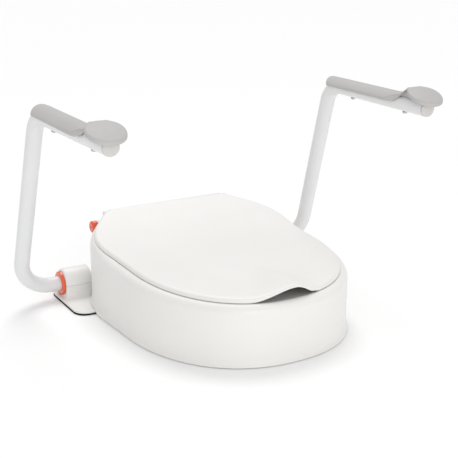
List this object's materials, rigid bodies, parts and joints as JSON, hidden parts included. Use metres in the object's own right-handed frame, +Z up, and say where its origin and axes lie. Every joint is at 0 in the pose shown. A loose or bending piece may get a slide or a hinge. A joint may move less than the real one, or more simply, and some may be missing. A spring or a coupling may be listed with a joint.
{
  "type": "raised toilet seat",
  "caption": "Raised toilet seat: white horseshoe body with lid and finger wave on a clamp bracket, with two fold-back tubular arm supports and grey armrests.",
  "frame": {"origin": "on the plane that it stands on, under the middle of its box", "axes": "+X across, to the right seen from the front; +Y to the rear, where the bracket and hinges are; +Z up"},
  "size_m": [0.5808, 0.4452, 0.3709],
  "materials": {
    "white_moulding": "warm white moulded plastic with a fine satin surface",
    "white_powder_coat": "white powder coat on steel tube",
    "grey_armrest": "light grey soft-touch plastic",
    "orange_plastic": "glossy orange-red plastic",
    "black_rubber": "black rubber",
    "steel": "zinc-plated steel"
  },
  "bodies": {
    "base": {"base_bracket": "white_moulding", "left_grip_mat": "black_rubber", "left_housing_cover": "white_moulding", "left_pivot_bush": "orange_plastic", "left_cover_screw_front": "steel", "left_cover_screw_rear": "steel", "right_grip_mat": "black_rubber", "right_housing_cover": "white_moulding", "right_pivot_bush": "orange_plastic", "right_cover_screw_front": "steel", "right_cover_screw_rear": "steel"},
    "seat": {"seat_shell": "white_moulding", "seat_buffer_front_left": "black_rubber", "seat_buffer_front_right": "black_rubber", "seat_buffer_side_left": "black_rubber", "seat_buffer_side_right": "black_rubber", "left_pin_guide": "white_moulding", "left_release_spring": "steel", "left_lid_pin": "steel", "right_pin_guide": "white_moulding", "right_release_spring": "steel", "right_lid_pin": "steel"},
    "lid": {"lid_panel": "white_moulding", "lid_buffer_front_left": "black_rubber", "lid_buffer_front_right": "black_rubber", "lid_buffer_rear_left": "black_rubber", "lid_buffer_rear_right": "black_rubber"},
    "left_arm": {"left_arm_tube": "white_powder_coat", "left_arm_pad": "grey_armrest", "left_end_plug": "grey_armrest", "left_stop_pin": "steel", "left_pad_screw_front": "steel", "left_pad_screw_rear": "steel"},
    "right_arm": {"right_arm_tube": "white_powder_coat", "right_arm_pad": "grey_armrest", "right_end_plug": "grey_armrest", "right_stop_pin": "steel", "right_pad_screw_front": "steel", "right_pad_screw_rear": "steel"},
    "left_release": {"left_hinge_shaft": "steel", "left_release_knob": "orange_plastic"},
    "right_release": {"right_hinge_shaft": "steel", "right_release_knob": "orange_plastic"}
  },
  "joints": [
    {"name": "seat_hinge", "type": "hinge", "parent": "base", "child": "seat", "pos_m": [0, 0.19, 0.1158], "axis": [-1, 0, 0], "range_deg": [0, 90]},
    {"name": "lid_hinge", "type": "hinge", "parent": "seat", "child": "lid", "pos_m": [0, 0.1985, 0.1315], "axis": [-1, 0, 0], "range_deg": [0, 95]},
    {"name": "left_arm_fold", "type": "hinge", "parent": "base", "child": "left_arm", "pos_m": [-0.2035, 0.19, 0.0265], "axis": [-1, 0, 0], "range_deg": [0, 80]},
    {"name": "right_arm_fold", "type": "hinge", "parent": "base", "child": "right_arm", "pos_m": [0.2035, 0.19, 0.0265], "axis": [-1, 0, 0], "range_deg": [0, 80]},
    {"name": "left_release_pull", "type": "slide", "parent": "seat", "child": "left_release", "axis": [-1, 0, 0], "range_m": [0, 0.009], "stiffness_N_per_m": 400, "deforming": ["left_release_spring"]},
    {"name": "right_release_pull", "type": "slide", "parent": "seat", "child": "right_release", "axis": [1, 0, 0], "range_m": [0, 0.009], "stiffness_N_per_m": 400, "deforming": ["right_release_spring"]}
  ]
}
